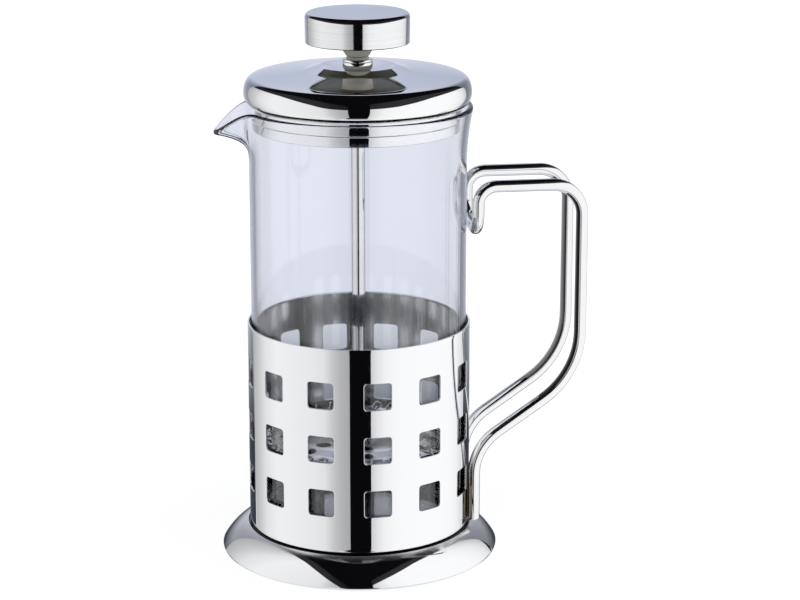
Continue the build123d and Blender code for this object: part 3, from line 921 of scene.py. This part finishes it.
# crest and glow by the bearing from straight behind, tones by height in metres
sweepSize = {"radius": 205, "half": 50, "low": -130, "fade": [(12, 0.06), (50, 0.05), (70, 0.0)],
             "crest": [(0, 500), (8, 470), (16, 410), (26, 330), (36, 270), (44, 240), (50, 220)],
             "glow": [(-50, 0.3), (-40, 0.36), (-30, 0.48), (-20, 0.9), (0, 1.0), (20, 1.0), (30, 0.68),
                      (40, 0.48), (50, 0.4)],
             "tones": [(-0.02, (0.10, 0.11, 0.14)), (0.03, (0.80, 0.83, 0.92)), (0.12, (0.80, 0.83, 0.92)),
                       (0.205, (0.52, 0.57, 0.71)), (0.3, (0.65, 0.68, 0.79))]}
flagSize = {"x": 50, "heights": (112, 62), "glow": [(-34, 0.004), (-12, 0.02), (34, 0.4)]}
# lengths in metres; it glows to the lens, less close to the press
floorSize = {"half": 2.0, "drop": 0.0002, "reach": (0.07, 0.22), "glow": (0.86, 1.0),
             "grey": (0.2, 0.2, 0.2, 1)}
roomTones = {"fill": (0.72, 0.73, 0.76, 1), "pale": (0.80, 0.82, 0.87), "dark": (0.003, 0.003, 0.004),
             "through": (0.80, 0.83, 0.93), "throughHigh": (0.10, 0.105, 0.125), "white": (1, 1, 1, 1)}
# how steep a look goes dark: from straight below, up through the glass, and past the cards
roomEdges = {"ground": (-0.9, -0.78), "sky": (0.15, 0.5), "lens": (0.94, 0.97), "behind": (-0.9, -0.6),
             "limit": (0.27, -0.14), "soft": (0.0, 0.06)}


def bearing(degrees):
    # direction on the table, measured from the lens, positive to the right of the picture
    angle = math.radians(degrees - 90 + cameraSize["turn"])
    return Vector((math.cos(angle), math.sin(angle), 0))


def stageMaterial(name):
    material = bpy.data.materials.new(name)
    material.use_nodes = True
    material.node_tree.nodes.clear()
    return material, material.node_tree


def surface(tree, shader):
    node(tree, "ShaderNodeOutputMaterial", shader.outputs[0])


def panelGlow(tree):
    return node(tree, "ShaderNodeAttribute", attribute_name="glow").outputs["Fac"]


def upright(spot, low, top, glow, fade):
    # one column of a panel: its full glow up to the edge, then the fall-off
    steps = [(low, 1), (top, 1), *[(top + rise, share) for rise, share in fade]]
    return [((spot.x, spot.y, z), glow * share) for z, share in steps]


def glowPanel(name, columns, material):
    # shows in the steel and through the glass, not to the lens
    mesh = bpy.data.meshes.new(name)
    spots = [entry for column in columns for entry in column]
    faces = quads(len(columns), len(columns[0]), ring=False)
    mesh.from_pydata([Vector(spot) * mm for spot, _ in spots], [], faces)
    mesh.attributes.new("glow", "FLOAT", "POINT").data.foreach_set("value", [glow for _, glow in spots])
    mesh.materials.append(material)
    panel = bpy.data.objects.new(name, mesh)
    bpy.context.scene.collection.objects.link(panel)
    panel.visible_camera = False
    panel.visible_shadow = False
    return panel


def makeCard(name, card, material):
    # a flat panel whose glow fades towards its ends
    known, *edges = zip(*sorted(card["stops"]))
    columns = []
    for a in np.linspace(card["stops"][0][0], card["stops"][-1][0], 90):
        spot = bearing(a) * card["distance"] / math.cos(math.radians(a - card["facing"]))
        low, top, glow = [np.interp(a, known, edge) for edge in edges]
        columns.append(upright(spot, low, top, glow, cardFade))
    glowPanel(name, columns, material)


def makeSweep(s, material):
    # a curved backdrop, highest behind the object, fading out above its crest
    columns = []
    for turn in np.linspace(-s["half"], s["half"], 51):
        crest, glow = np.interp(abs(turn), *zip(*s["crest"])), np.interp(turn, *zip(*s["glow"]))
        columns.append(upright(bearing(180 + turn) * s["radius"], s["low"], crest, glow, s["fade"]))
    glowPanel("stage.sweep", columns, material)


def cardMaterial(dimmer=-0.4):
    # seen straight through the glass the cards are dimmer than in the steel
    material, tree = stageMaterial("stageCard")
    ray = node(tree, "ShaderNodeLightPath").outputs
    direct = maths(tree, "LESS_THAN", ray["Glossy Depth"], 0.5)
    through = maths(tree, "MULTIPLY", ray["Is Transmission Ray"], direct)
    level = maths(tree, "MULTIPLY", maths(tree, "MULTIPLY_ADD", through, dimmer, 1.0), panelGlow(tree))
    surface(tree, node(tree, "ShaderNodeEmission", Color=roomTones["white"], Strength=level))
    return material


def sweepMaterial(tones, low=-0.25, high=0.5):
    # pale blue-grey above the table, dark below it
    material, tree = stageMaterial("stageSweep")
    rise = spread(tree, heightOf(tree, coords(tree)), 0, 1, low, high)
    tone = ramp(tree, rise, [((height - low) / (high - low), tone) for height, tone in tones])
    surface(tree, node(tree, "ShaderNodeEmission", Color=tone, Strength=panelGlow(tree)))
    return material


def makeFlag(s):
    # a dark flag inside the grip, seen only from the grip's side, draws the dark line along the wire
    material, tree = stageMaterial("stageFlag")
    shine = node(tree, "ShaderNodeEmission", Color=roomTones["white"], Strength=panelGlow(tree))
    behind = node(tree, "ShaderNodeNewGeometry").outputs["Backfacing"]
    clear = node(tree, "ShaderNodeBsdfTransparent")
    surface(tree, node(tree, "ShaderNodeMixShader", behind, shine.outputs[0], clear.outputs[0]))
    columns = [[((s["x"], y, z), glow) for z in s["heights"]] for y, glow in s["glow"]]
    flag = glowPanel("stage.flag", columns, material)
    flag.visible_transmission = False
    flag.visible_diffuse = False


def makeFloor(s):
    half = s["half"]
    corners = [(-half, -half, 0), (half, -half, 0), (half, half, 0), (-half, half, 0)]
    floor = meshObject("stage.floor", corners, [(0, 1, 2, 3)])
    floor.location.z = -s["drop"]
    material, tree = stageMaterial("stageFloor")
    far = vectorMaths(tree, "LENGTH", "Value", coords(tree))
    matt = node(tree, "ShaderNodeBsdfDiffuse", Color=s["grey"])
    shine = node(tree, "ShaderNodeEmission", Color=roomTones["white"],
                 Strength=spread(tree, far, *s["glow"], *s["reach"]))
    both = node(tree, "ShaderNodeAddShader", matt.outputs[0], shine.outputs[0])
    seen = node(tree, "ShaderNodeLightPath").outputs["Is Camera Ray"]
    surface(tree, node(tree, "ShaderNodeMixShader", seen, matt.outputs[0], both.outputs[0]))
    floor.data.materials.append(material)
    floor.visible_glossy = False
    floor.visible_transmission = False


def makeWorld(s, edges):
    # white to the lens, pale straight through glass, dark in the steel, dim for matt pieces
    world = bpy.data.worlds.new("studio")
    bpy.context.scene.world = world
    world.use_nodes = True
    tree = world.node_tree
    tree.nodes.clear()
    ray = node(tree, "ShaderNodeLightPath").outputs
    toward = coords(tree, "Generated")
    rise = heightOf(tree, toward)
    ground = ramp(tree, spread(tree, rise, 0, 1, *edges["ground"]), [(0, s["pale"]), (1, s["dark"])])
    # beyond the cards the room is pale too, low down and away from the lens
    flat = vectorMaths(tree, "MULTIPLY", "Vector", toward, (1, 1, 0))
    level = vectorMaths(tree, "NORMALIZE", "Vector", flat)
    ahead = vectorMaths(tree, "DOT_PRODUCT", "Value", level, bearing(2))
    aside = spread(tree, ahead, 1, 0, *edges["lens"])
    limit = spread(tree, ahead, *edges["limit"], *edges["behind"])
    under = spread(tree, maths(tree, "SUBTRACT", limit, rise), 0, 1, *edges["soft"])
    room = blend(tree, maths(tree, "MULTIPLY", under, aside), ground, (*s["pale"], 1))
    above = spread(tree, rise, 0, 1, *edges["sky"])
    sky = ramp(tree, above, [(0, s["through"]), (1, s["throughHigh"])])
    mirrored = maths(tree, "GREATER_THAN", ray["Glossy Depth"], 0.5)
    last = node(tree, "ShaderNodeBackground", Color=s["fill"]).outputs[0]
    for choice, tone in ((ray["Is Transmission Ray"], sky), (mirrored, room),
                         (ray["Is Camera Ray"], s["white"])):
        light = node(tree, "ShaderNodeBackground", Color=tone)
        last = node(tree, "ShaderNodeMixShader", choice, last, light.outputs[0]).outputs[0]
    node(tree, "ShaderNodeOutputWorld", last)


cardWhite = cardMaterial()
makeCard("stage.cardLeft", leftCard, cardWhite)
makeCard("stage.cardRight", rightCard, cardWhite)
makeSweep(sweepSize, sweepMaterial(sweepSize["tones"]))
makeFlag(flagSize)
makeFloor(floorSize)
makeWorld(roomTones, roomEdges)

lens = bpy.data.cameras.new("camera")
lens.lens = cameraSize["lens"]
lens.sensor_width = 36
lens.sensor_fit = "HORIZONTAL"
camera = bpy.data.objects.new("camera", lens)
camera.location = Vector(cameraSize["place"]) * mm
camera.rotation_euler = (math.radians(cameraSize["tilt"]), 0, math.radians(cameraSize["turn"]))
bpy.context.scene.collection.objects.link(camera)
bpy.context.scene.camera = camera
bpy.context.scene.view_settings.view_transform = "Standard"
print("studio set")
